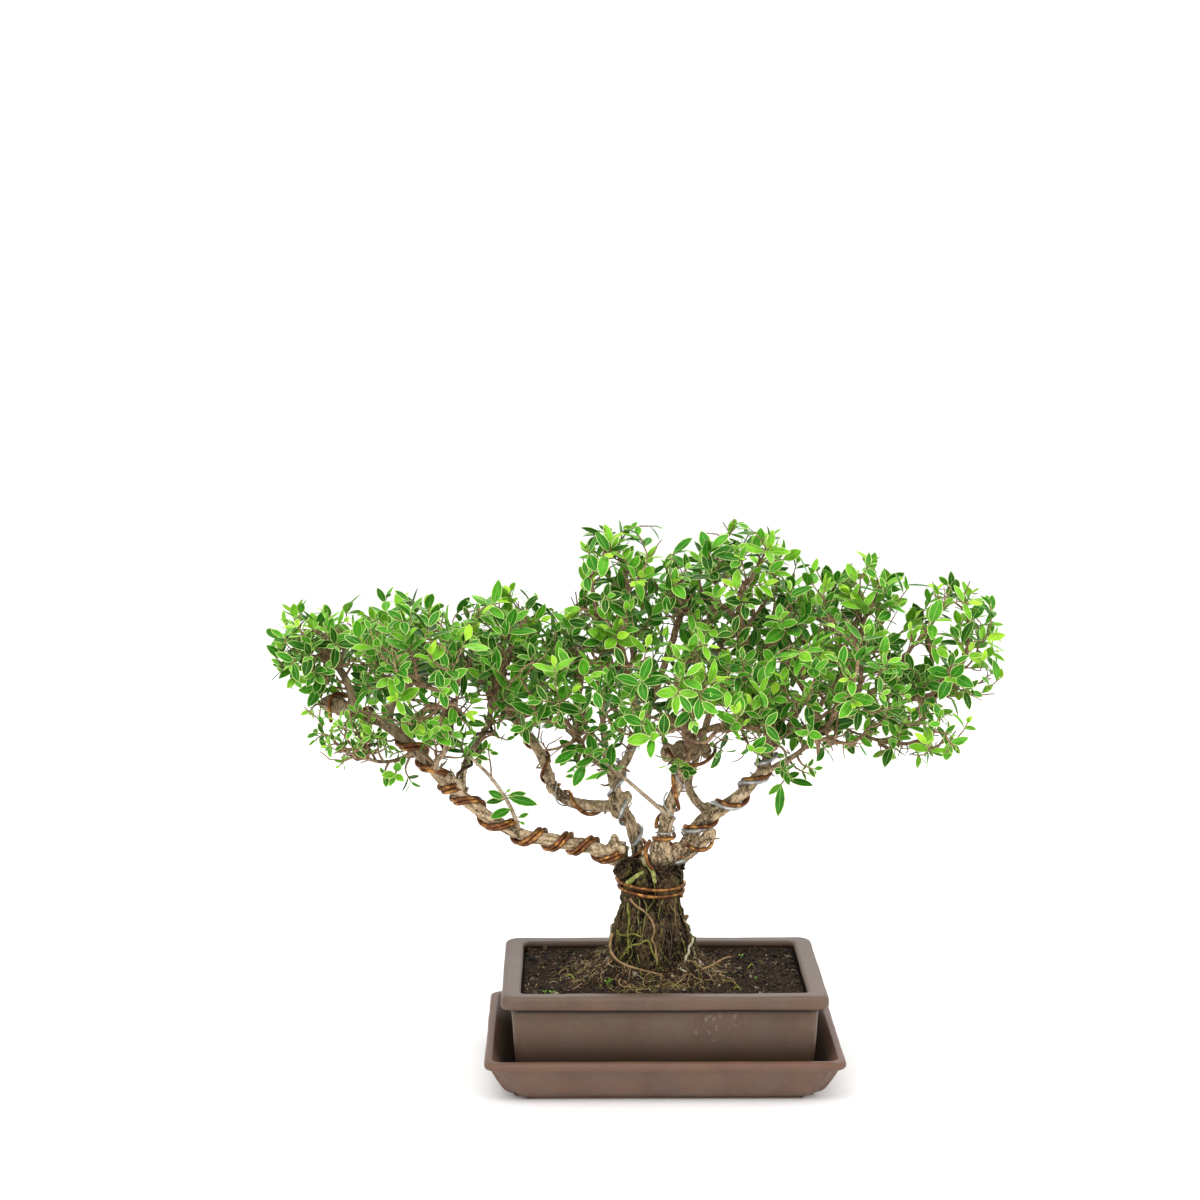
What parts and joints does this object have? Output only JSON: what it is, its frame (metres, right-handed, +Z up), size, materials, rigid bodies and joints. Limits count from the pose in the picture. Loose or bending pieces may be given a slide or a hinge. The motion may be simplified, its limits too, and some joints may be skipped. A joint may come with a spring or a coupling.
{
  "type": "serissa bonsai tree in pot",
  "caption": "Small wired bonsai tree with a spreading leafy crown, standing in a rectangular stoneware pot on a matching drip tray.",
  "frame": {"origin": "middle of the drip tray's flat underside", "axes": "+Z up; +X along the crown's longest reach, towards its shorter, fuller side; -Y towards the side the tree is shown from"},
  "size_m": [0.5506, 0.2257, 0.4195],
  "materials": {
    "stoneware": "matt unglazed, brown-grey",
    "soil": "crumbly, moist",
    "old_bark": "dark ridged bark, mossy",
    "bark": "light flaking bark",
    "copper_wire": "copper-brown anodised",
    "silver_wire": "bare, dull",
    "foliage": "small green leaves with cream margins on woody twigs"
  },
  "bodies": {
    "root": {"tray": "stoneware", "pot": "stoneware", "soil": "soil", "trunk": "old_bark", "bough_left": "bark", "bough_left_tip": "bark", "bough_left_side": "bark", "bough_left_fork": "bark", "bough_left_rear": "bark", "bough_left_low": "bark", "bough_centre_left": "bark", "bough_mid_low": "bark", "bough_mid_rise": "bark", "bough_centre_rear": "bark", "bough_centre_side": "bark", "bough_centre": "bark", "bough_back": "bark", "bough_right": "bark", "bough_right_stub": "bark", "bough_right_long": "bark", "bough_right_fork": "bark", "bough_right_rear": "bark", "bough_right_top": "bark", "bough_right_low": "bark", "wire_left_a": "copper_wire", "wire_left_b": "copper_wire", "wire_right_copper": "copper_wire", "wire_right_silver": "silver_wire", "wire_centre_left": "silver_wire", "wire_centre": "copper_wire", "wire_trunk": "copper_wire", "sprig_left": "foliage", "sprig_centre": "foliage", "sprig_right": "foliage", "mass_left_tip": "foliage", "mass_left_low": "foliage", "mass_left_front": "foliage", "mass_left_rear": "foliage", "mass_left_mid": "foliage", "mass_mid_rear": "foliage", "mass_crown_left": "foliage", "mass_crown_rear_left": "foliage", "mass_centre_left": "foliage", "mass_centre_front": "foliage", "mass_crown_rear": "foliage", "mass_crown_right": "foliage", "mass_right_front": "foliage", "mass_right_rear": "foliage", "mass_right_mid": "foliage", "mass_right_tip": "foliage", "mass_right_low": "foliage"}
  },
  "joints": []
}
